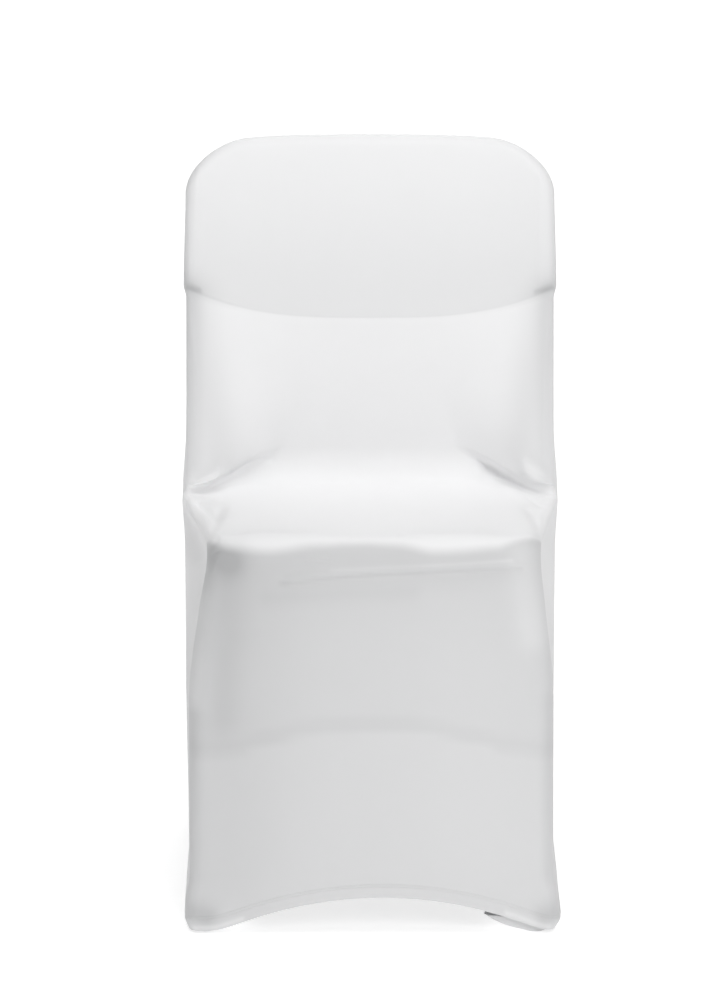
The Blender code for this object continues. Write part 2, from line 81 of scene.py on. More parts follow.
# Widths along that run. The place is counted in its pieces: 0 to 1 is the upper back, 2 to 3 the
# lower back, 4 to 5 the seat, 6 to 7 the skirt, and the others are the bends between them.
SKIRT_START = 6
FRONT_WIDTHS = (
    # place, half width, shift to the right, turned edge, turned back (0 or 1), flat to x, sides from x
    (0.0, 0.2165, 0.0, RIM, 0.0, 0.0, UPPER_BACK_BOW),
    (0.6, 0.2199, 0.0, RIM, 0.0, 0.0, UPPER_BACK_BOW),
    (1.0, 0.2212, 0.0, RIM, 0.0, 0.0, UPPER_BACK_BOW),
    (2.04, 0.2178, 0.0, 0.0135, 0.0, 0.0, 0.215),
    (2.4, 0.2176, 0.0, 0.013, 0.0, 0.06, 0.206),
    (3.0, 0.218, 0.0, 0.0125, 0.0, 0.1, 0.206),
    (3.6, 0.2215, 0.0, 0.008, 0.0, 0.14, 0.212),
    (4.0, 0.218, 0.0005, 0.007, 0.0, 0.15, 0.21),
    (4.5, 0.205, 0.003, 0.012, 0.4, 0.165, 0.202),
    (5.0, 0.1965, 0.0045, 0.022, 1.0, 0.17, 0.196),
    (6.0, 0.1955, 0.0045, 0.04, 1.0, 0.15, 0.196),
    (6.15, 0.203, 0.0025, 0.036, 1.0, 0.15, 0.2),
    (6.4, 0.214, 0.0014, 0.025, 1.0, 0.15, 0.21),
    (6.86, 0.2138, 0.0016, 0.016, 1.0, 0.15, 0.21),
    (6.94, 0.2203, 0.0028, 0.014, 1.0, 0.15, 0.21),
    (6.97, 0.2207, 0.0032, 0.0135, 1.0, 0.15, 0.21),
    (7.0, 0.215, 0.0022, 0.013, 1.0, 0.15, 0.21),
)

# Folds of the front panel, from one place to another, with the half width of the fold and how far
# it stands out (a hollow is negative).
FRONT_FOLDS = (
    # name, x, place, x, place, half width, height
    ("left dimple", -0.164, 3.1, -0.15, 3.08, 0.009, -0.005),
    ("tail of the left dimple", -0.148, 3.08, -0.12, 3.22, 0.006, -0.002),
    ("right dimple", 0.14, 3.34, 0.154, 3.38, 0.009, -0.004),
    ("left ridge", -0.216, 3.2, -0.178, 3.02, 0.006, 0.006),
    ("right ridge", 0.216, 3.08, 0.184, 2.96, 0.006, 0.006),
    ("under the left ridge", -0.2, 3.62, -0.17, 3.55, 0.011, -0.0015),
    ("under the right ridge", 0.202, 3.6, 0.178, 3.55, 0.01, -0.0015),
    ("left facet crease", -0.178, 4.4, -0.19, 4.85, 0.008, -0.003),
    ("right facet crease", 0.186, 4.4, 0.196, 4.85, 0.008, -0.003),
    ("seat crown", -0.06, 4.45, 0.06, 4.45, 0.07, 0.003),
    ("left lobe of the edge", -0.14, 5.5, -0.09, 5.5, 0.028, 0.006),
    ("right lobe of the edge", 0.06, 5.5, 0.12, 5.5, 0.03, 0.0045),
    ("under the left corner", -0.17, 6.02, -0.166, 6.22, 0.02, -0.005),
    ("crease under the edge", -0.095, 6.07, 0.165, 6.03, 0.006, 0.0018),
    ("upper band of the skirt", -0.13, 6.13, 0.12, 6.1, 0.012, 0.0012),
    ("left foot's bulge", -0.204, 6.95, -0.196, 6.95, 0.018, 0.0035),
    ("right foot's bulge", 0.204, 6.95, 0.196, 6.95, 0.018, 0.0035),
)

# The step: its height at the middle and the sides, where across it rises, and its place on the run
STEP_MIDDLE, STEP_SIDES, STEP_FROM, STEP_OVER = 0.0004, 0.003, 0.12, 0.09
STEP_START, STEP_LENGTH = 1.1, 0.8

# The arched band: its height and place, its reach up and down, and where it fades to the sides
BAND_HEIGHT, BAND_PLACE, BAND_ARCH = 0.0018, 6.515, 1.7
BAND_ABOVE, BAND_BELOW, BAND_FADE_FROM, BAND_FADE_OVER = 0.07, 0.017, 0.1, 0.06

# The rear panel down its middle and down its side seams
REAR_RUN = (
    # up, middle behind, side seam behind, half width, turned edge
    (0.86, 0.4145, 0.385, 0.2178, 0.0145),
    (0.785, 0.417, 0.3638, 0.2192, 0.03),
    (0.6, 0.427, 0.388, 0.217, 0.04),
    (0.45, 0.443, 0.41, 0.213, 0.038),
    (0.3, 0.46, 0.433, 0.21, 0.03),
    (0.1, 0.48, 0.464, 0.206, 0.017),
    (0.03, 0.486, 0.472, 0.209, 0.014),
    (0.0, 0.488, 0.475, 0.206, 0.013),
)

# The bowed hems: height at the middle, how sharply they fall to the feet, and where the middle is
FRONT_HEM = (0.045, 1.13, 0.012)
REAR_HEM = (0.038, 1.05, 0.0)

# How a side gusset's rows run, from a place on the front seam to a height on the rear seam
GUSSET_ROWS = (
    # place on the front seam, height on the rear seam, rise of the row's middle
    (0.455, 0.78, 0.0),
    (1.0, 0.7, 0.0),
    (2.0, 0.685, 0.0),
    (3.0, 0.55, -0.01),
    (4.0, 0.46, -0.045),
    (5.0, 0.38, -0.055),
    (6.0, 0.345, -0.04),
    (7.0, 0.0035, 0.03),
)
SIDE_POINT = (0.252, 0.472)
FRONT_FOOT = (0.016, 0.0)
REAR_FOOT = (0.47, 0.0)
FRONT_RIDGE_HALF_WIDTH = (
    # up, distance of the ridge from the middle of the cover
    (0.0, 0.215), (0.1, 0.215), (0.35, 0.2178), (0.48, 0.2205),
)
FRONT_RIDGE_SPREAD = 0.09
REAR_RIDGE_HEIGHT = 0.0025
REAR_RIDGE_SPREAD = 0.06
RIDGE_EASE = 0.2

# A foot pocket
POCKET_CORNERS = (0.2145, 0.2045)
POCKET_ROUNDING = 1.6
POCKET_SPACING = 0.8
POCKET_CUP = 1.6
POCKET_FLAT_RINGS = 0.45
POCKET_HEM_HEIGHT = 0.017
POCKET_HEM_EASE = 0.5
POCKET_INSET = 0.004


def smooth(share):
    """0 to 1 with level ends: three squares less two cubes of the share."""
    share = np.clip(share, 0, 1)
    return share * share * (3 - 2 * share)


def column(table, number):
    return [row[number] for row in table]


def curve(at, places, values):
    """A cubic through the values at the places, with tangents that never let it overshoot them."""
    places, values = np.array(places, float), np.array(values, float)
    steps, rises = np.diff(places), np.diff(values)
    slopes = rises / steps
    both = slopes[:-1] * slopes[1:] > 0
    total = np.where(both, slopes[:-1] + slopes[1:], 1)
    inner = np.where(both, 2 * slopes[:-1] * slopes[1:] / total, 0)
    tangents = np.concatenate([slopes[:1], inner, slopes[-1:]])
    at = np.clip(at, places[0], places[-1])
    k = np.clip(np.searchsorted(places, at, side="right") - 1, 0, len(steps) - 1)
    t = (at - places[k]) / steps[k]
    bend_low = tangents[k] * steps[k] * t * (1 - t) ** 2
    bend_high = tangents[k + 1] * steps[k] * t * t * (t - 1)
    return values[k] + rises[k] * smooth(t) + bend_low + bend_high


def read(table, at, number=1):
    """A column of a table at these places, which its first column gives."""
    return curve(at, column(table, 0), column(table, number))


def unit(vectors):
    return vectors / np.maximum(np.linalg.norm(vectors, axis=-1, keepdims=True), TINY)


def turned(cloth_in, radius):
    """Cloth turned over a quarter circle: its distance in from the outline, and its depth."""
    angle = np.clip(cloth_in / radius, 0, QUARTER)
    level = np.maximum(cloth_in - radius * QUARTER, 0)
    return radius * (1 - np.cos(angle)) + level, radius * (1 - np.sin(angle))


class Run:
    """A line of straight pieces and round bends seen from the side. Whole numbers count its pieces."""

    def __init__(self, points, bends):
        self.points = [np.array(p, float) for p in points]
        self.bends = bends
        pairs = zip(self.points, self.points[1:])
        self.headings = [unit(end - start) for start, end in pairs]
        self.turns = [0.0]
        for before, after in zip(self.headings, self.headings[1:]):
            cross = before[0] * after[1] - before[1] * after[0]
            self.turns.append(math.atan2(cross, float(before @ after)))
        self.turns.append(0.0)
        self.trims = [r * math.tan(abs(t) / 2) for r, t in zip(self.bends, self.turns)]

    def straight(self, i):
        """Where straight piece i starts and ends."""
        start = self.points[i] + self.headings[i] * self.trims[i]
        end = self.points[i + 1] - self.headings[i] * self.trims[i + 1]
        return start, end

    def lengths(self):
        found = []
        for i in range(len(self.headings)):
            start, end = self.straight(i)
            found.append(float(np.linalg.norm(end - start)))
            if i + 1 < len(self.headings):
                found.append(self.bends[i + 1] * abs(self.turns[i + 1]))
        return found

    def at(self, place):
        """Points and outward directions: a share of each straight piece, or of the angle of each bend."""
        place = np.asarray(place, float)
        points, outward = np.zeros(place.shape + (2,)), np.zeros(place.shape + (2,))
        pieces = 2 * len(self.headings) - 1
        which = np.clip(np.floor(place), 0, pieces - 1).astype(int)
        for piece in range(pieces):
            here = which == piece
            share = (place[here] - piece)[:, None]
            i = piece // 2
            start, end = self.straight(i)
            heading = self.headings[i]
            if piece % 2 == 0:
                points[here] = start + (end - start) * share
                outward[here] = (heading[1], -heading[0])
            else:
                turn, radius = self.turns[i + 1], self.bends[i + 1]
                side = np.array((-heading[1], heading[0])) * math.copysign(1, turn)
                angle = turn * share
                spun = np.hstack([heading[0] * np.cos(angle) - heading[1] * np.sin(angle),
                                  heading[0] * np.sin(angle) + heading[1] * np.cos(angle)])
                spoke = np.hstack([spun[:, 1:], -spun[:, :1]])
                points[here] = end + side * radius + spoke * radius * math.copysign(1, turn)
                outward[here] = spoke
        return points, outward


MIDDLE = Run([row[1:3] for row in FRONT_RUN], column(FRONT_RUN, 3))
SIDES = Run([row[4:6] for row in FRONT_RUN], column(FRONT_RUN, 6))
RUN_LENGTHS = MIDDLE.lengths()
CORNER_PLACE = CORNER / RUN_LENGTHS[0]
RUN_STARTS = np.concatenate([[0], np.cumsum(RUN_LENGTHS)])
REAR_CORNER_UP = float(SIDES.at(CORNER_PLACE)[0][1])


def along(place):
    """Metres of cloth from the top rim to these places on the front run."""
    return np.interp(place, np.arange(len(RUN_STARTS)), RUN_STARTS)


def front_width(place, number):
    return read(FRONT_WIDTHS, place, number)


def bowed_hem(x, hem):
    """Height of a hem: its middle less its fall times the square of x, run out level at the feet."""
    top, fall, middle = hem
    bow = top - fall * (x - middle) ** 2
    return LIFT + np.logaddexp(0, (bow - LIFT) / HEM_SOFTNESS) * HEM_SOFTNESS


def rounded_corner(share, corner_row, half, edge):
    """A panel with two round top corners and a rim turned over a quarter circle all round.

    The square of grid lines in each corner is drawn in to a quarter disc: each way is multiplied by
    the root of one less half the square of the other. Gives x, the distance below the top rim, the
    share of the turn, 1 on the seam and 0 inside, and the cloth's distance in from the seam.
    """
    spare = (QUARTER - 1) * edge
    corner = CORNER + spare
    reach = np.abs(share) * (half + spare)
    out = np.maximum(reach - (half - CORNER), 0)
    up = corner * np.maximum(1 - corner_row, 0)
    drawn_out = out * np.sqrt(1 - up ** 2 / (2 * corner ** 2))
    drawn_up = up * np.sqrt(1 - out ** 2 / (2 * corner ** 2))
    radial = np.hypot(drawn_out, drawn_up)
    inward, depth = turned(corner - radial, edge)
    scale = (CORNER - inward) / np.maximum(radial, TINY)
    x = np.sign(share) * (np.minimum(reach, half - CORNER) + drawn_out * scale)
    return x, CORNER - drawn_up * scale, depth / edge, corner - radial


def off_line(first, second, start, end):
    """Distance of points, given by their two measures, from the line between start and end."""
    run = np.array(end) - start
    share = np.clip(((first - start[0]) * run[0] + (second - start[1]) * run[1]) / (run @ run), 0, 1)
    return np.hypot(first - start[0] - share * run[0], second - start[1] - share * run[1])


def fold_heights(x, place, folds):
    """Each fold's height times e to minus the square of the distance from its line over its half width."""
    length = along(place)
    height = np.zeros_like(x)
    for _, x0, place0, x1, place1, width, rise in folds:
        apart = off_line(x, length, (x0, along(place0)), (x1, along(place1)))
        height += rise * np.exp(-(apart / width) ** 2)
    return height


def step_height(x, place):
    """How far the upper back stands proud: a smooth rise to the sides, falling away over the step."""
    height = STEP_MIDDLE + (STEP_SIDES - STEP_MIDDLE) * smooth((np.abs(x) - STEP_FROM) / STEP_OVER)
    return height * (1 - smooth((place - STEP_START) / STEP_LENGTH))


def arched_band(x, place):
    """A low band that rises smoothly over its upper side and falls back fast over its lower one."""
    above = along(BAND_PLACE + BAND_ARCH * x ** 2) - along(place)
    rise = smooth(1 - above / BAND_ABOVE) * (above >= 0)
    fall = smooth(1 + above / BAND_BELOW) * (above < 0)
    return BAND_HEIGHT * (rise + fall) * (1 - smooth((np.abs(x) - BAND_FADE_FROM) / BAND_FADE_OVER))


def front_surface(share, row, folds=FRONT_FOLDS):
    """Outer face of the front panel, its cloth's distance in from the seam, and its places on the run.

    x comes from the widths. The side view is the middle run, drawn towards the side run by a smooth
    share of x, less the depth of the turned edge, plus the folds along the outward direction.
    """
    level = np.maximum(row, CORNER_PLACE)
    half, shift, edge, back = (front_width(level, n) for n in (1, 2, 3, 4))
    x, below, turn, cloth_in = rounded_corner(share, row / CORNER_PLACE, half, edge)
    place = np.where(row < CORNER_PLACE, below / RUN_LENGTHS[0], row)
    flat_to, sides_from = front_width(place, 5), front_width(place, 6)
    sided = np.clip((np.abs(x) - flat_to) / (sides_from - flat_to), 0, 1)
    bowed = smooth((BOW_END - place) / BOW_FADE)
    sided = sided ** BOW_POWER * bowed + smooth(sided) * (1 - bowed)
    sided = back * turn + (1 - back) * sided
    middle, middle_out = MIDDLE.at(place)
    sides, sides_out = SIDES.at(place)
    flat = middle + (sides - middle) * sided[..., None]
    out = unit(middle_out + (sides_out - middle_out) * sided[..., None])
    flat = flat - out * (edge * (1 - back) * turn)[..., None]
    heights = fold_heights(x, place, folds) + step_height(x, place) + arched_band(x, place)
    flat = flat + out * (heights * (1 - turn))[..., None]
    hem = (bowed_hem(x, FRONT_HEM) - FRONT_HEM[0]) * np.clip(place - SKIRT_START, 0, 1) ** HEM_EASE
    return np.stack([x + shift, flat[..., 0], flat[..., 1] + hem], axis=-1), cloth_in, place


def front_seam(place, side):
    """The front panel's seam on one side, at these places on its run."""
    place = np.asarray(place, float)
    return front_surface(np.full(place.shape, float(side)), place)[0]


def rear_width(up, number):
    return read(REAR_RUN[::-1], up, number)


def rear_seam_behind(up):
    """How far back the rear panel's side seam is: behind the front seam down to the gussets' tops."""
    shared = front_seam([GUSSET_ROWS[0][0], CORNER_PLACE], 1)
    above = np.interp(up, shared[:, 2], shared[:, 1])
    return np.where(up > shared[0, 2], above, rear_width(up, 2))


def rear_surface(share, row):
    """Outer face of the rear panel and its cloth's distance in from the seam.

    row is 0 to 1 in the corners and 1 to 2 from there to the hem. The distance behind goes from the
    seam to the middle's by one less the turn.
    """
    below_corner = np.clip(row - 1, 0, 1)
    side_up = REAR_CORNER_UP * (1 - below_corner)
    half, edge = rear_width(side_up, 3), rear_width(side_up, 4)
    x, below, turn, cloth_in = rounded_corner(share, row, half, edge)
    place = np.where(row < 1, below / RUN_LENGTHS[0], CORNER_PLACE)
    sided = np.clip(np.abs(x) / UPPER_BACK_BOW, 0, 1)[..., None] ** BOW_POWER
    middle, middle_out = MIDDLE.at(place)
    sides, sides_out = SIDES.at(place)
    out = middle_out + (sides_out - middle_out) * sided
    rim = middle + (sides - middle) * sided - out * RIM
    up = rim[..., 1] * (1 - below_corner) + bowed_hem(x, REAR_HEM) * below_corner
    seam = np.where(row > 1, rear_seam_behind(up), rim[..., 0])
    behind = seam + (rear_width(up, 1) - seam) * (1 - turn)
    return np.stack([x, behind, up], axis=-1), cloth_in


def rear_seam(up, side):
    """The rear panel's side seam at these heights, below the corners."""
    up = np.asarray(up, float)
    unlifted = (up - LIFT) / (1 - LIFT / REAR_CORNER_UP)
    return np.stack([side * rear_width(unlifted, 3), rear_seam_behind(up), up], axis=-1)


def slanted_ridge(behind, up, foot, spread):
    """1 over the line from the side point to that foot, falling smoothly to 0 at the spread."""
    return 1 - smooth(off_line(behind, up, SIDE_POINT, foot) / spread)


def gusset_surface(across, place, side):
    """Outer face of a side gusset and its distance from the nearer of its two seams.

    Each row is a straight line from the front seam (across 0) to the rear seam (1), sagged by four
    times its rise times the two shares, and pushed out over the two slanted ridges.
    """
    front = front_seam(place, side)
    rear = rear_seam(read(GUSSET_ROWS, place), side)
    points = front + (rear - front) * across[..., None]
    points[..., 2] += read(GUSSET_ROWS, place, 2) * 4 * across * (1 - across)
    behind, up = points[..., 1], points[..., 2]
    ridge_x = np.interp(up, column(FRONT_RIDGE_HALF_WIDTH, 0), column(FRONT_RIDGE_HALF_WIDTH, 1))
    front_ridge = slanted_ridge(behind, up, FRONT_FOOT, FRONT_RIDGE_SPREAD) * smooth(across / RIDGE_EASE)
    rear_ridge = slanted_ridge(behind, up, REAR_FOOT, REAR_RIDGE_SPREAD) * smooth(across / RIDGE_EASE)
    rear_ridge *= smooth((1 - across) / RIDGE_EASE)
    points[..., 0] += side * np.maximum(ridge_x - np.abs(points[..., 0]), 0) * front_ridge
    points[..., 0] += side * REAR_RIDGE_HEIGHT * rear_ridge
    span = np.linalg.norm(rear - front, axis=-1)
    return points, np.minimum(across, 1 - across) * span


def pocket_surface(ring, turn, side, rear):
    """Outer face of a foot pocket, from the middle of its flat disc (ring 0) out to its mouth (1).

    The mouth is a rounded corner line: one over the root of the summed powers of each way's share.
    Its height grows with a power of the share of the way out from the disc.
    """
    corner = np.array((POCKET_CORNERS[int(rear)] - POCKET_WALL, POCKET_WALL))
    centre = corner + np.array((-1, 1)) * (FOOT_DISC + POCKET_INSET)
    angle = turn * 2 * math.pi
    toward = np.stack([np.cos(angle), -np.sin(angle)], axis=-1)
    to_corner = np.stack([toward[..., 0] > 0, toward[..., 1] < 0], axis=-1)
    limits = np.where(to_corner, FOOT_DISC + POCKET_INSET, POCKET_REACH)
    power = POCKET_ROUNDING
    reach = np.sum((np.abs(toward) / limits) ** power, axis=-1) ** (-1 / power)
    out = np.clip((ring - POCKET_FLAT_RINGS) / (1 - POCKET_FLAT_RINGS), 0, 1)
    disc = FOOT_DISC * np.minimum(ring / POCKET_FLAT_RINGS, 1)
    distance = disc + (reach - FOOT_DISC) * out ** POCKET_SPACING
    along_hem = smooth((reach - FOOT_DISC) / (POCKET_REACH - FOOT_DISC) / POCKET_HEM_EASE)
    height = (POCKET_HEIGHT + (POCKET_HEM_HEIGHT - POCKET_HEIGHT) * along_hem) * out ** POCKET_CUP
    x = centre[0] + toward[..., 0] * distance
    behind = centre[1] + toward[..., 1] * distance + SKIRT_LEAN * height
    if rear:
        behind = DEPTH - behind
    return np.stack([side * x, behind, height], axis=-1)


# Small folds of the front panel, too fine for its main folds
FRONT_CREASES = (
    # name, x, place, x, place, half width, height
    ("crease by the right dimple", 0.128, 3.26, 0.136, 3.32, 0.003, -0.0018),
    ("lip of the left dimple", -0.166, 3.42, -0.148, 3.34, 0.006, 0.002),
    ("lip of the right dimple", 0.138, 3.66, 0.158, 3.7, 0.006, 0.002),
    ("edge of the left ridge", -0.212, 3.02, -0.184, 2.95, 0.0035, -0.0018),
    ("edge of the right ridge", 0.212, 2.96, 0.19, 2.9, 0.0035, -0.0018),
    ("left pull", -0.208, 3.7, -0.182, 4.2, 0.005, 0.0014),
    ("second left pull", -0.204, 4.1, -0.188, 4.55, 0.004, -0.0012),
    ("right pull", 0.21, 3.7, 0.188, 4.15, 0.005, 0.0014),
    ("right pucker", 0.186, 4.1, 0.2, 4.22, 0.004, -0.0016),
    ("right pucker in front", 0.19, 5.3, 0.198, 5.5, 0.0035, -0.0016),
    ("lower right pucker", 0.188, 5.6, 0.197, 5.9, 0.003, 0.001),
    ("left pucker in front", -0.184, 5.2, -0.193, 5.6, 0.0035, -0.0018),
    ("second left pucker", -0.182, 5.75, -0.191, 6.0, 0.003, -0.0014),
    ("third left pucker", -0.184, 6.01, -0.19, 6.05, 0.003, 0.0012),
    ("edge of the crease", -0.1, 6.062, 0.176, 6.026, 0.0035, 0.0014),
    ("line under the crease", -0.106, 6.08, 0.176, 6.04, 0.003, -0.0008),
    ("short line at the left", -0.09, 5.93, -0.052, 5.97, 0.002, -0.0006),
    ("second short line", -0.08, 6.01, -0.05, 6.015, 0.002, -0.0005),
    ("left edge bead", -0.2045, 0.18, -0.2045, 0.96, 0.0045, 0.0008),
    ("right edge bead", 0.201, 0.18, 0.201, 0.96, 0.0045, 0.0008),
    ("draw down the left", -0.178, 6.06, -0.19, 6.6, 0.014, -0.0014),
    ("draw down the right", 0.186, 6.05, 0.198, 6.5, 0.008, -0.001),
    ("kink by the right foot", 0.16, 6.985, 0.176, 6.995, 0.004, -0.0012),
)

# Grid lines down the front panel: how many steps each piece of its run has, and how much they
# crowd to its two ends (0 to 0.15)
FRONT_STEPS = ((20, 0.05), (12, 0.0), (24, 0.08), (44, 0.0), (34, 0.08), (26, 0.0), (76, 0.11))
FRONT_COLUMNS = 92
CORNER_STEPS = 22
REAR_COLUMNS = 56
REAR_STEPS, REAR_CROWDING = 110, 0.1
GUSSET_COLUMNS = 64
POCKET_COLUMNS = 96
POCKET_STEPS = 40
EDGE_CROWDING = 1.5
WELD = 0.00001

# A hem's fold: the radius that the cloth is turned over, how far it runs up inside, and its steps
FOLD_RADIUS = 0.0011
FOLD_UP = 0.006
FOLD_STEPS = 6

# Waves of the taut cloth: radians for each metre across and down, and the phase
CLOTH_WAVES = ((31, 9, 0.4), (-14, 23, 1.9), (8, 41, 3.1), (47, -17, 5.0), (19, 63, 2.2))
CLOTH_WAVE_GAIN = 30
REAR_WAVE_SHIFT = 0.31

# Pulls along a seam (size, radians for each metre, phase), and the seams' and hems' other detail
SEAM_PULLS = ((0.35, 310, 0.0), (0.25, 187, 1.3), (0.2, 523, 0.4))
SEAM_PULL_SHARE, SEAM_PULL_WIDTHS = 0.12, 4
SEAM_CALM = 0.02
HEM_EDGE = 0.0015
STITCH_ROWS_DOWN = (0.0015, 0.0045)
STITCH_GROOVE = 0.0007

# Gathers at a foot pocket's mouth: size, number in its round, phase
GATHERS = ((1.0, 22, 0.0), (0.5, 9, 1.0))
GATHERS_FROM = 0.6

# Cloth in the turned edges, where a hem may start on each panel's run, and the height far from a hem
FRONT_EDGE_CLOTH, REAR_EDGE_CLOTH = 0.008, 0.01
FRONT_HEM_FROM, REAR_HEM_FROM, GUSSET_HEM_FROM = SKIRT_START, 1.5, 6.5
NO_HEM = 1.0


def crowded(start, end, steps, crowding):
    """Steps from start to end, drawn to both ends by a sine of twice the share."""
    share = np.linspace(0, 1, steps + 1)
    return start + (end - start) * (share - crowding * np.sin(2 * math.pi * share))


def mirrored_shares(columns):
    """Shares from -1 to 1 that crowd to both seams: one less a power of the share still to go."""
    half = 1 - (1 - np.linspace(0, 1, columns + 1)) ** EDGE_CROWDING
    return np.concatenate([-half[:0:-1], half])


def grid_normals(points, sign):
    """Unit normals of a grid of points: its two differences crossed, evened out over the neighbours."""
    crossed = np.cross(np.gradient(points, axis=0), np.gradient(points, axis=1)) * sign
    padded = np.pad(crossed, ((1, 1), (1, 1), (0, 0)), mode="edge")
    summed = padded[:-2, 1:-1] + padded[2:, 1:-1] + padded[1:-1, :-2] + padded[1:-1, 2:] + 2 * crossed
    return unit(summed)


def corner_rows():
    """Rows through the round top corners, 0 at the rim and 1 below them."""
    return np.linspace(0, 1, CORNER_STEPS + 1) ** EDGE_CROWDING


def run_rows(first):
    """Rows down the front run below its first one, crowded to both ends of each of its pieces."""
    return np.concatenate([crowded(max(piece, first), piece + 1, steps, crowding)[1:]
                           for piece, (steps, crowding) in enumerate(FRONT_STEPS)])


def unevenness(u, v, height):
    """Slight unevenness of taut cloth: a sum of long crossing sine waves, in metres of the cloth."""
    total = np.zeros_like(u)
    for across, down, phase in CLOTH_WAVES:
        total += np.sin(across * u + down * v + phase) / math.hypot(across, down)
    return height * total * CLOTH_WAVE_GAIN / len(CLOTH_WAVES)


def seam_draw(from_seam, length, sizes):
    """Dip beside a seam: a bell of the distance, plus a wider one that three sine waves vary along it."""
    pull = sum(size * np.sin(length * turns + phase) for size, turns, phase in SEAM_PULLS)
    near = np.exp(-(from_seam / sizes.seam_width) ** 2)
    wide = np.exp(-(from_seam / (SEAM_PULL_WIDTHS * sizes.seam_width)) ** 2)
    return -sizes.seam_depth * (near + SEAM_PULL_SHARE * pull * wide)


def stitch_lines(sizes):
    """Heights of the two lines of stitches above the edge of a hem."""
    return [sizes.hem_height - down for down in STITCH_ROWS_DOWN]


def hem_swell(above_hem, sizes):
    """Extra height of the doubled cloth of a hem, with a groove along its two lines of stitches."""
    doubled = 1 - smooth((above_hem - sizes.hem_height) / HEM_EDGE)
    groove = sum(np.exp(-((above_hem - line) / STITCH_GROOVE) ** 2) for line in stitch_lines(sizes))
    return sizes.hem_swell * doubled - sizes.stitch_depth * groove


def fine_relief(u, v, from_seam, down_seam, above_hem, sizes):
    """The unevenness, which is calm at the seams, with the seams' dips and the hem's swell."""
    relief = unevenness(u, v, sizes.unevenness) * smooth(from_seam / SEAM_CALM)
    return relief + seam_draw(from_seam, down_seam, sizes) + hem_swell(above_hem, sizes)


def with_fold(points, normals, u, v, above_hem, hollow):
    """Adds the rows of a hem's fold below a grid: half a turn inward about the fold's radius, then up."""
    down = unit(points[-1] - points[-3])
    turn = np.linspace(0, math.pi, FOLD_STEPS + 1)[1:, None, None]
    rows = points[-1] - normals[-1] * FOLD_RADIUS * (1 - np.cos(turn)) + down * FOLD_RADIUS * np.sin(turn)
    tail = rows[-1:] - down * FOLD_UP
    layers = {"u": u, "v": v, "above_hem": above_hem, "hollow": hollow}
    held = {name: np.concatenate([grid] + [grid[-1:]] * (FOLD_STEPS + 1)) for name, grid in layers.items()}
    return np.concatenate([points, rows, tail]), held


def linked(name, data):
    """A new object in the scene."""
    made = bpy.data.objects.new(name, data)
    bpy.context.scene.collection.objects.link(made)
    return made


def cloth_object(name, points, flip, layers, thickness, closed=False):
    """A sheet from a grid of points, with its cloth measures as a UV map and its layers as attributes."""
    rows, columns = points.shape[:2]
    flat = points.reshape(-1, 3) - np.array((0, DEPTH / 2, 0))
    index = np.arange(rows * columns).reshape(rows, columns)
    corners = (index[:-1, :-1], index[1:, :-1], index[1:, 1:], index[:-1, 1:])
    faces = np.stack(corners, axis=-1).reshape(-1, 4)
    if flip:
        faces = faces[:, ::-1]
    mesh = bpy.data.meshes.new(name)
    mesh.from_pydata(flat.tolist(), [], faces.tolist())
    uv = mesh.uv_layers.new(name="cloth")
    used = np.empty(len(mesh.loops), dtype=np.int32)
    mesh.loops.foreach_get("vertex_index", used)
    measures = np.stack([layers["u"].ravel(), layers["v"].ravel()], axis=-1)[used]
    uv.data.foreach_set("uv", measures.ravel().astype(np.float32))
    for layer, values in layers.items():
        if layer not in ("u", "v"):
            made = mesh.attributes.new(layer, "FLOAT", "POINT")
            made.data.foreach_set("value", values.ravel().astype(np.float32))
    if closed:
        work = bmesh.new()
        work.from_mesh(mesh)
        bmesh.ops.remove_doubles(work, verts=work.verts, dist=WELD)
        work.to_mesh(mesh)
        work.free()
    mesh.shade_smooth()
    made = linked(name, mesh)
    solid = made.modifiers.new("cloth thickness", "SOLIDIFY")
    solid.thickness = thickness
    solid.offset = -1
    return made


# The knit's finish: the wales' share of its height, a stitch's dash and thread, and the yarn's surface
WALE_SHARE = 0.7
DASH_END = (0.72, 0.84)
THREAD_HALF_WIDTH = (0.00025, 0.00055)
CLOUD_DETAIL, GRAIN_DETAIL = 3.0, 2.0
ROUGHNESS_SPREAD = 0.1
SHEEN_ROUGHNESS = 0.4
YARN_SPECULAR = 0.3

# Sockets of the Mix node that mix colours
MIX_FACTOR, MIX_FIRST, MIX_SECOND, MIX_RESULT = 0, 6, 7, 2


class Value:
    """A number in a material. Arithmetic on it adds Math nodes."""

    def __init__(self, paint, socket):
        self.paint = paint
        self.socket = socket

    def math(self, operation, *others):
        return self.paint.node("ShaderNodeMath", {"operation": operation}, (self,) + others)

    def __add__(self, other):
        return self.math("ADD", other)

    def __sub__(self, other):
        return self.math("SUBTRACT", other)

    def __rsub__(self, other):
        return self.paint.node("ShaderNodeMath", {"operation": "SUBTRACT"}, (other, self))

    def __mul__(self, other):
        return self.math("MULTIPLY", other)

    def __truediv__(self, other):
        return self.math("DIVIDE", other)

    __radd__ = __add__


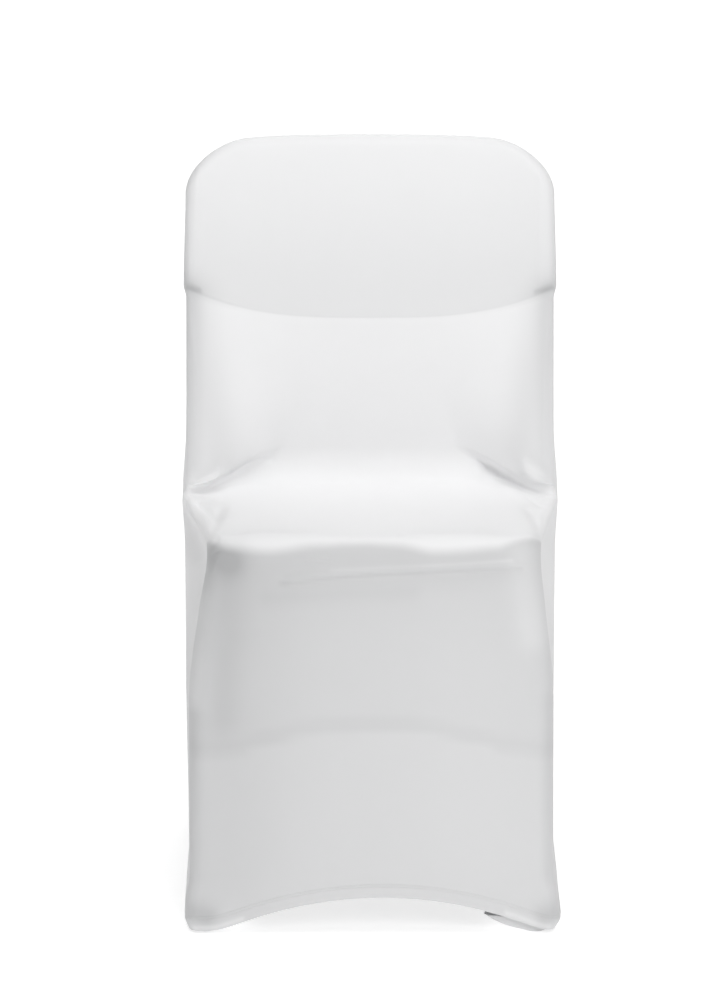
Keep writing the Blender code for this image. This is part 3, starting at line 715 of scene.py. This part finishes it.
class Paint:
    """A new material whose nodes come from one method."""

    def __init__(self, name):
        self.material = bpy.data.materials.new(name)
        self.material.use_nodes = True
        self.tree = self.material.node_tree
        self.surface = self.tree.nodes["Principled BSDF"]

    def node(self, kind, settings, values=(), output=0):
        """A node with its settings, then the values or links of its sockets in order or by name."""
        made = self.tree.nodes.new(kind)
        for setting, value in settings.items():
            setattr(made, setting, value)
        pairs = values.items() if isinstance(values, dict) else enumerate(values)
        for key, value in pairs:
            self.feed(made.inputs[key], value)
        return Value(self, made.outputs[output])

    def feed(self, socket, value):
        if isinstance(value, Value):
            self.tree.links.new(value.socket, socket)
        else:
            socket.default_value = value

    def fill(self, values):
        """Feeds the surface's inputs by name, with plain values or links."""
        for name, value in values.items():
            self.feed(self.surface.inputs[name], value)

    def attribute(self, name):
        return self.node("ShaderNodeAttribute", {"attribute_name": name}, (), "Fac")

    def cloth_measures(self):
        """Metres across and down the cloth, from its own UV map."""
        uv = self.node("ShaderNodeUVMap", {"uv_map": "cloth"})
        across = self.node("ShaderNodeSeparateXYZ", {}, (uv,), 0)
        down = Value(self, across.socket.node.outputs[1])
        return across, down

    def between(self, value, low, high):
        """0 below low and 1 above high, smooth in between."""
        settings = {"interpolation_type": "SMOOTHSTEP"}
        return self.node("ShaderNodeMapRange", settings, (value, low, high, 0.0, 1.0))

    def mixed(self, factor, first, second):
        """A colour between two, which may be colours or links."""
        values = {MIX_FACTOR: factor, MIX_FIRST: first, MIX_SECOND: second}
        return self.node("ShaderNodeMix", {"data_type": "RGBA"}, values, MIX_RESULT)

    def noise(self, place, scale, detail):
        values = {"Vector": place, "Scale": scale, "Detail": detail}
        return self.node("ShaderNodeTexNoise", {}, values)


def knit_height(across, down, look):
    """Height of the knit: rounded wales across, each with slanting loops along it."""
    wale = across * (math.pi / look.wale)
    ribs = wale.math("SINE").math("ABSOLUTE")
    lean = (wale / math.pi).math("PINGPONG", 1.0)
    loops = ((down / look.course + lean) * (2 * math.pi)).math("SINE")
    return ribs * WALE_SHARE + loops * (1 - WALE_SHARE)


def stitch_height(paint, across, above_hem, sizes):
    """1 on the dashes of a hem's two lines of stitches and 0 elsewhere."""
    dash = 1 - paint.between((across / sizes.stitch_length).math("FRACT"), *DASH_END)
    apart = [(above_hem - line).math("ABSOLUTE") for line in stitch_lines(sizes)]
    lower, upper = (1 - paint.between(value, *THREAD_HALF_WIDTH) for value in apart)
    return (lower + upper) * dash


def knit_material(name, sizes, look):
    """White knit: painted shade where it lies over a hollow and where shading falls, painted highlights,
    fine wales, stitches and sheen.
    """
    paint = Paint(name)
    across, down = paint.cloth_measures()
    hollow, above_hem = paint.attribute("hollow"), paint.attribute("above_hem")
    knit = knit_height(across, down, look)
    stitches = stitch_height(paint, across, above_hem, sizes)
    place = paint.node("ShaderNodeTexCoord", {}, (), "Object")
    cloudy = paint.noise(place, look.cloud_scale, CLOUD_DETAIL)
    grain = paint.noise(place, look.grain_scale, GRAIN_DETAIL)
    # Painted shade and painted highlights: the cloth is mixed towards the grey by its share of painted
    # shade
    base = paint.mixed(hollow, (*look.cloth, 1), (*look.painted_shade_colour, 1))
    shade = (*look.gap_shade_and_mottle, 1)
    mottled = paint.mixed((cloudy - 0.5).math("ABSOLUTE") * look.mottle, base, shade)
    # Painted shade between the yarns, where the knit is low, and along the stitches' grooves
    dipped = paint.mixed((1 - knit) * look.yarn_shade, mottled, shade)
    sewn = paint.mixed(stitches * look.stitch_shade, dipped, shade)
    roughness = look.roughness + (grain - 0.5) * ROUGHNESS_SPREAD
    height = knit * look.knit_relief + stitches * look.stitch_relief + grain * look.grain_relief
    bump = paint.node("ShaderNodeBump", {}, {"Strength": 1.0, "Distance": 1.0, "Height": height})
    paint.fill({"Base Color": sewn, "Roughness": roughness, "Normal": bump, "Sheen Weight": look.sheen,
                "Sheen Roughness": SHEEN_ROUGHNESS, "Specular IOR Level": YARN_SPECULAR})
    return paint.material


# Share of painted shade down the front panel, where less light comes back from the hollow behind it and
# shading falls
PAINTED_SHADE_ALONG = (
    # place, share
    (0.0, 0.12), (0.5, 0.22), (0.9, 0.28), (1.3, 0.28), (1.56, 0.06), (2.0, 0.03), (3.0, 0.02),
    (3.3, 0.0), (7.0, 0.0),
)

# Painted shade of the skirt below the seat's front edge, added to it
SKIRT_PAINTED_SHADE = (
    # place, share
    (5.0, 0.55), (6.0, 0.58), (6.12, 0.52), (6.3, 0.47), (6.455, 0.46), (6.475, 0.52),
    (6.5, 0.52), (6.515, 0.42), (7.0, 0.4),
)
SEAT_EDGE = (
    # x, place where the seat's front edge lies
    (-0.196, 4.9), (-0.165, 5.5), (-0.118, 5.66), (-0.06, 5.42), (-0.01, 5.32), (0.03, 5.4),
    (0.077, 5.66), (0.146, 5.5), (0.175, 5.15), (0.196, 4.9),
)
EDGE_SOFTNESS, EDGE_LEAD = 0.5, 0.2
# Arch of the skirt's painted shade, which carries a painted shadow band across the skirt
TONE_ARCH, ARCH_TO, ARCH_BELOW = 1.7, 0.15, 6.2

# Painted shade of the other pieces: a first share, how much is added, from where, and over how much
REAR_PAINTED_SHADE = (0.2, 0.25, 0.72, -0.12)
GUSSET_PAINTED_SHADE = (0.12, 0.25, 6.0, 0.5)
POCKET_PAINTED_SHADE = (0.3, 0.2)

# Patches of painted shade and painted highlights on the front panel: painted shade in its corners, notches
# and dimples, beside the uprights and under the seat's edge, and painted highlights (negative shares) on
# the crease, the doubled hems and the right of the skirt
FRONT_SHADE_AND_HIGHLIGHT_PATCHES = (
    # name, x, place, x, place, half width, share
    ("dark left corner", -0.18, 5.95, -0.163, 6.01, 0.018, 0.31),
    ("valley down the left", -0.168, 6.05, -0.172, 6.45, 0.022, 0.13),
    ("broad left shade", -0.155, 6.1, -0.175, 6.85, 0.075, 0.15),
    ("lighter at the right", 0.12, 6.2, 0.12, 6.8, 0.09, -0.05),
    ("light right corner", 0.18, 5.98, 0.192, 6.22, 0.02, -0.17),
    ("light left seam", -0.196, 6.12, -0.206, 6.4, 0.008, -0.13),
    ("left edge", -0.206, 6.45, -0.206, 6.86, 0.013, 0.08),
    ("right edge", 0.209, 6.4, 0.209, 6.86, 0.008, 0.1),
    ("left upright", -0.2095, 1.8, -0.2095, 2.9, 0.011, 0.26),
    ("right upright", 0.2085, 1.7, 0.2085, 3.0, 0.011, 0.24),
    ("beside the left upright", -0.21, 1.7, -0.18, 2.9, 0.027, 0.26),
    ("beside the right upright", 0.208, 1.7, 0.18, 2.85, 0.026, 0.24),
    ("upper band of the skirt", -0.12, 6.12, 0.05, 6.105, 0.01, 0.05),
    ("line under the crease", -0.105, 6.078, -0.013, 6.056, 0.0025, 0.11),
    ("light on the crease", -0.045, 6.04, 0.058, 6.026, 0.0024, -0.08),
    ("light on its right part", 0.062, 6.026, 0.165, 6.01, 0.0024, -0.12),
    ("line under its right part", -0.009, 6.055, 0.176, 6.034, 0.0026, 0.11),
    ("left foot", -0.206, 6.955, -0.192, 6.965, 0.013, 0.3),
    ("light on the left hem", -0.206, 6.992, -0.15, 6.992, 0.003, -0.25),
    ("right foot", 0.214, 6.955, 0.204, 6.97, 0.012, 0.28),
    ("light on the right hem", 0.16, 6.992, 0.21, 6.992, 0.003, -0.2),
    ("left notch", -0.217, 1.38, -0.201, 1.1, 0.0022, 0.24),
    ("right notch", 0.196, 1.09, 0.217, 1.38, 0.0022, 0.24),
    ("left dimple", -0.164, 3.12, -0.152, 3.09, 0.006, 0.16),
    ("tail of the left dimple", -0.148, 3.1, -0.124, 3.21, 0.003, 0.08),
    ("right dimple", 0.143, 3.34, 0.15, 3.36, 0.005, 0.1),
    ("left facet", -0.2, 3.6, -0.178, 4.6, 0.014, 0.08),
    ("right facet", 0.205, 3.6, 0.192, 4.5, 0.01, 0.05),
)


def front_painted_shade(x, place):
    """Painted shade and painted highlights: the share down the panel, plus the skirt's below the seat's
    edge, plus every patch's bell.

    The skirt's share is read at its place less the arch times the square of x.
    """
    arched = place - TONE_ARCH * np.minimum(np.abs(x), ARCH_TO) ** 2 * (place > ARCH_BELOW)
    below_edge = smooth((place - read(SEAT_EDGE, x)) / EDGE_SOFTNESS + EDGE_LEAD)
    share = read(PAINTED_SHADE_ALONG, place) + below_edge * read(SKIRT_PAINTED_SHADE, arched)
    return np.clip(share + fold_heights(x, place, FRONT_SHADE_AND_HIGHLIGHT_PATCHES), 0, 1)


# Painted shade of a piece, eased from its first share by the added share
def eased_painted_shade(at, hollow):
    first, added, start, over = hollow
    return first + added * smooth((at - start) / over)


def front_grid(sizes):
    """The front panel's points with its fine detail, and what its finish reads."""
    rows = np.concatenate([CORNER_PLACE * corner_rows(), run_rows(CORNER_PLACE)])
    share, row = np.meshgrid(mirrored_shares(FRONT_COLUMNS), rows)
    points, cloth_in, place = front_surface(share, row, FRONT_FOLDS + FRONT_CREASES)
    normals = grid_normals(points, 1)
    u, v = share * (front_width(row, 1) + FRONT_EDGE_CLOTH), along(row)
    above_hem = np.where(row > FRONT_HEM_FROM, RUN_STARTS[-1] - v, NO_HEM)
    down_seam = np.where(row < CORNER_PLACE, u + v, v)
    points += normals * fine_relief(u, v, cloth_in, down_seam, above_hem, sizes)[..., None]
    # Its last layer is painted shade and painted highlights
    return with_fold(points, normals, u, v, above_hem, front_painted_shade(points[..., 0], place))


def rear_grid(sizes):
    """The rear panel's points with its fine detail, and what its finish reads."""
    rows = np.concatenate([corner_rows(), crowded(1, 2, REAR_STEPS, REAR_CROWDING)[1:]])
    share, row = np.meshgrid(mirrored_shares(REAR_COLUMNS), rows)
    points, cloth_in = rear_surface(share, row)
    normals = grid_normals(points, -1)
    up = points[..., 2].copy()
    u, v = share * (rear_width(up, 3) + REAR_EDGE_CLOTH), REAR_CORNER_UP + CORNER - up
    above_hem = np.where(row > REAR_HEM_FROM, up - bowed_hem(points[..., 0], REAR_HEM), NO_HEM)
    down_seam = np.where(row < 1, u + v, v)
    relief = fine_relief(u + REAR_WAVE_SHIFT, v, cloth_in, down_seam, above_hem, sizes)
    points += normals * relief[..., None]
    # Its last layer is painted shade, darker lower down
    return with_fold(points, normals, u, v, above_hem, eased_painted_shade(up, REAR_PAINTED_SHADE))


def gusset_grid(sizes, side):
    """A side gusset's points with its fine detail, and what its finish reads."""
    apex = GUSSET_ROWS[0][0]
    columns = (mirrored_shares(GUSSET_COLUMNS // 2) + 1) / 2
    across, place = np.meshgrid(columns, np.concatenate([[apex], run_rows(apex)]))
    points, from_seam = gusset_surface(across, place, side)
    normals = grid_normals(points, side)
    u, v = points[..., 1].copy(), 1 - points[..., 2]
    above_hem = np.where(place > GUSSET_HEM_FROM, points[..., 2] - points[-1, :, 2], NO_HEM)
    relief = fine_relief(u * side, v, from_seam, v + side, above_hem, sizes)
    points += normals * relief[..., None]
    # Its last layer is painted shade, darker down its skirt
    return with_fold(points, normals, u, v, above_hem, eased_painted_shade(place, GUSSET_PAINTED_SHADE))


def pocket_grid(sizes, side, rear):
    """A foot pocket's points, drawn in by small gathers at its mouth, and what its finish reads."""
    turns, rings = np.linspace(0, 1, POCKET_COLUMNS + 1), np.linspace(0, 1, POCKET_STEPS + 1)
    turn, ring = np.meshgrid(turns, rings)
    points = pocket_surface(ring, turn, side, rear)
    gathers = sum(size * np.sin(turn * 2 * math.pi * times + phase) for size, times, phase in GATHERS)
    points[..., 2] += sizes.gather_depth * gathers * smooth((ring - GATHERS_FROM) / (1 - GATHERS_FROM))
    # Painted shade of the pocket, darker towards its mouth
    first, added = POCKET_PAINTED_SHADE
    return points, {"u": points[..., 0], "v": points[..., 1], "above_hem": np.full_like(ring, NO_HEM),
                    "hollow": first + added * ring}


def amount(name, description, default):
    return FloatProperty(name=name, description=description, default=default)


def metres(name, description, default):
    return FloatProperty(name=name, description=description, default=default, unit="LENGTH")


def colour(name, description, default):
    return FloatVectorProperty(name=name, description=description, default=default, subtype="COLOR")


class CoverSizes(PropertyGroup):
    """Sizes of the cloth and its sewing."""

    thickness: metres("Cloth", "Thickness of the cloth", 0.0012)
    seam_width: metres("Seam width", "Half width of the dip at a seam", 0.0022)
    seam_depth: metres("Seam depth", "Depth of the dip at a seam", 0.0008)
    hem_height: metres("Hem", "Height of the doubled band of a hem", 0.0165)
    hem_swell: metres("Hem swell", "How far a hem's band stands out", 0.0005)
    stitch_depth: metres("Stitch groove", "Depth of the groove that stitches draw", 0.0003)
    stitch_length: metres("Stitch", "Length of one stitch with its gap", 0.003)
    gather_depth: metres("Gathers", "Height of the gathers at a foot pocket's mouth", 0.0004)
    unevenness: metres("Unevenness", "Slight unevenness of the taut cloth", 0.0005)


class CoverLook(PropertyGroup):
    """Colours and scale of the knit."""

    # Painted shade: the cloth is mixed towards the second colour where shading falls and where it lies
    # over a hollow
    cloth: colour("Cloth", "Colour of the cloth over a white backing", (0.93, 0.93, 0.935))
    painted_shade_colour: colour("Over a hollow", "Colour with nothing behind the cloth", (0.46, 0.463, 0.468))
    # Painted shade in the knit's gaps and on the stitches; the random mottle also darkens towards it
    gap_shade_and_mottle: colour("Between yarns", "Colour in the gaps of the knit", (0.66, 0.665, 0.68))
    wale: metres("Wale", "Width of one wale of the knit", 0.0008)
    course: metres("Course", "Height of one course", 0.0006)
    roughness: amount("Roughness", "Roughness of the yarn", 0.72)
    sheen: amount("Sheen", "Sheen of the brushed yarn", 0.15)
    mottle: amount("Mottle", "Strength of the cloudy variation", 0.1)
    cloud_scale: amount("Clouds", "Clouds in a metre", 9.0)
    grain_scale: amount("Grain", "Specks in a metre", 900.0)
    yarn_shade: amount("Yarn shade", "Darkness between the yarns", 0.1)
    stitch_shade: amount("Stitch shade", "Darkness of the stitches", 0.05)
    knit_relief: metres("Knit relief", "Height of the wales", 0.00006)
    stitch_relief: metres("Stitch relief", "Height of the stitches", 0.00025)
    grain_relief: metres("Grain relief", "Height of the fuzz", 0.00003)


class StageLook(PropertyGroup):
    """The camera, the floor and the lights."""

    camera_up: FloatProperty(name="Camera height", description="Angle of the camera above the floor",
                             default=math.radians(17), subtype="ANGLE")
    camera_away: metres("Camera distance", "Distance of the camera", 12.0)
    lens: amount("Lens", "Focal length in millimetres", 365.04)
    aim: FloatVectorProperty(name="Aim", description="Point that the camera looks at",
                             default=(-0.0083, 0.0, 0.4576), subtype="TRANSLATION")
    key: amount("Key", "Power of the soft light at the upper right", 60.0)
    top: amount("Top", "Power of the soft light overhead", 50.0)
    fill: amount("Fill", "Power of the soft light at the left", 17.0)
    behind: amount("Behind", "Power of the light on the floor behind", 60.0)
    surround: amount("Surround", "Strength of the light from all round", 0.12)
    floor_glow: amount("Floor glow", "Light that the floor gives", 0.66)


# The two sides of the cover, each with its sign and name
HANDS = ((-1, "left"), (1, "right"))


def add_sheet(context, name, grid, flip, nodes, closed=False):
    """Makes a sheet of knit that rides with the cover, stands for its solids and is stretched cloth."""
    sizes, look = context.scene.cover_sizes, context.scene.cover_look
    points, layers = grid
    piece = cloth_object(name, points, flip, layers, sizes.thickness, closed)
    piece.data.materials.append(knit_material(name + "_knit", sizes, look))
    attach(piece, "root")
    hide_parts(*nodes)


class COVER_OT_front(Operator):
    """Makes the front panel, from the top rim over the seat to the front hem"""

    bl_idname = "cover.front"
    bl_label = "Front panel"

    def execute(self, context):
        grid = front_grid(context.scene.cover_sizes)
        add_sheet(context, "front_cloth", grid, False, ["front_panel"])
        return {"FINISHED"}


class COVER_OT_rear(Operator):
    """Makes the rear panel"""

    bl_idname = "cover.rear"
    bl_label = "Rear panel"

    def execute(self, context):
        grid = rear_grid(context.scene.cover_sizes)
        add_sheet(context, "rear_cloth", grid, True, ["rear_panel"])
        return {"FINISHED"}


class COVER_OT_sides(Operator):
    """Makes the two side gussets"""

    bl_idname = "cover.sides"
    bl_label = "Side gussets"

    def execute(self, context):
        for side, hand in HANDS:
            grid = gusset_grid(context.scene.cover_sizes, side)
            add_sheet(context, "side_cloth_" + hand, grid, side < 0,
                      ["side_panel_" + hand])
        return {"FINISHED"}


class COVER_OT_feet(Operator):
    """Makes the four foot pockets"""

    bl_idname = "cover.feet"
    bl_label = "Foot pockets"

    def execute(self, context):
        for side, hand in HANDS:
            for rear, end in ((False, "front_"), (True, "rear_")):
                grid = pocket_grid(context.scene.cover_sizes, side, rear)
                add_sheet(context, "foot_cloth_" + end + hand, grid, (side < 0) != rear,
                          ["foot_pocket_" + end + hand], closed=True)
        return {"FINISHED"}


# The stage: each soft light's place, its target if that isn't the camera's, and its width
LIGHTS = (
    # name, place, target, width
    ("key", (1.4, -3.2, 2.6), None, 1.8),
    ("top", (0.2, -0.2, 3.4), None, 2.4),
    ("fill", (-3.0, -1.4, 1.3), None, 2.0),
    ("behind", (0.0, 3.6, 2.6), (0.0, 3.0, 0.0), 3.0),
)
FLOOR_HALF = 30.0
FLOOR_GREY = (0.6, 0.6, 0.6, 1)
FLOOR_ROUGHNESS = 0.9
WHITE = (1, 1, 1, 1)
SIGHT_END = 200


def soft_light(name, place, aim, width, power):
    light = bpy.data.lights.new(name, "AREA")
    light.size = width
    light.energy = power
    made = linked(name, light)
    made.location = place
    made.rotation_euler = (Vector(aim) - Vector(place)).to_track_quat("-Z", "Y").to_euler()


def pale_floor(look):
    """A wide pale floor that glows a little, so that only the closest shadows show on it."""
    mesh = bpy.data.meshes.new("floor")
    corners = [(x * FLOOR_HALF, y * FLOOR_HALF, 0) for x, y in ((-1, -1), (1, -1), (1, 1), (-1, 1))]
    mesh.from_pydata(corners, [], [(0, 1, 2, 3)])
    made = linked("floor", mesh)
    paint = Paint("pale_floor")
    paint.fill({"Base Color": FLOOR_GREY, "Roughness": FLOOR_ROUGHNESS, "Specular IOR Level": 0.0,
                "Emission Color": WHITE, "Emission Strength": look.floor_glow})
    mesh.materials.append(paint.material)


class COVER_OT_stage(Operator):
    """Makes the floor, the lights and the camera at the photo's viewing angle"""

    bl_idname = "cover.stage"
    bl_label = "Stage"

    def execute(self, context):
        look = context.scene.stage_look
        pale_floor(look)
        aim = Vector(look.aim)
        for name, place, target, width in LIGHTS:
            soft_light(name, place, target or aim, width, getattr(look, name))
        world = bpy.data.worlds.new("surround")
        context.scene.world = world
        world.use_nodes = True
        background = world.node_tree.nodes["Background"].inputs
        background["Color"].default_value = WHITE
        background["Strength"].default_value = look.surround
        camera = bpy.data.cameras.new("camera")
        camera.lens = look.lens
        camera.clip_end = SIGHT_END
        eye = linked("camera", camera)
        toward = Vector((0, -math.cos(look.camera_up), math.sin(look.camera_up)))
        eye.location = aim + toward * look.camera_away
        eye.rotation_euler = (-toward).to_track_quat("-Z", "Y").to_euler()
        context.scene.camera = eye
        context.scene.view_settings.view_transform = "Standard"
        return {"FINISHED"}


class COVER_PT_panel(Panel):
    """Lists the cover's pieces, sizes and colours"""

    bl_label = "Stretch cover"
    bl_space_type = "VIEW_3D"
    bl_region_type = "UI"
    bl_category = "Cover"

    def draw(self, context):
        layout = self.layout
        for operator in OPERATORS:
            layout.operator(operator.bl_idname)
        for group, kind in GROUPS:
            for name in kind.__annotations__:
                layout.prop(getattr(context.scene, group), name)


GROUPS = (("cover_sizes", CoverSizes), ("cover_look", CoverLook), ("stage_look", StageLook))
OPERATORS = (COVER_OT_front, COVER_OT_rear, COVER_OT_sides, COVER_OT_feet, COVER_OT_stage)


def register():
    for name, group in GROUPS:
        bpy.utils.register_class(group)
        setattr(bpy.types.Scene, name, PointerProperty(type=group))
    for operator in OPERATORS:
        bpy.utils.register_class(operator)
    bpy.utils.register_class(COVER_PT_panel)


def unregister():
    bpy.utils.unregister_class(COVER_PT_panel)
    for operator in reversed(OPERATORS):
        bpy.utils.unregister_class(operator)
    for name, group in reversed(GROUPS):
        delattr(bpy.types.Scene, name)
        bpy.utils.unregister_class(group)


def main():
    register()
    bpy.ops.cover.front()
    bpy.ops.cover.rear()
    bpy.ops.cover.sides()
    bpy.ops.cover.feet()
    bpy.ops.cover.stage()


if __name__ == "__main__":
    main()
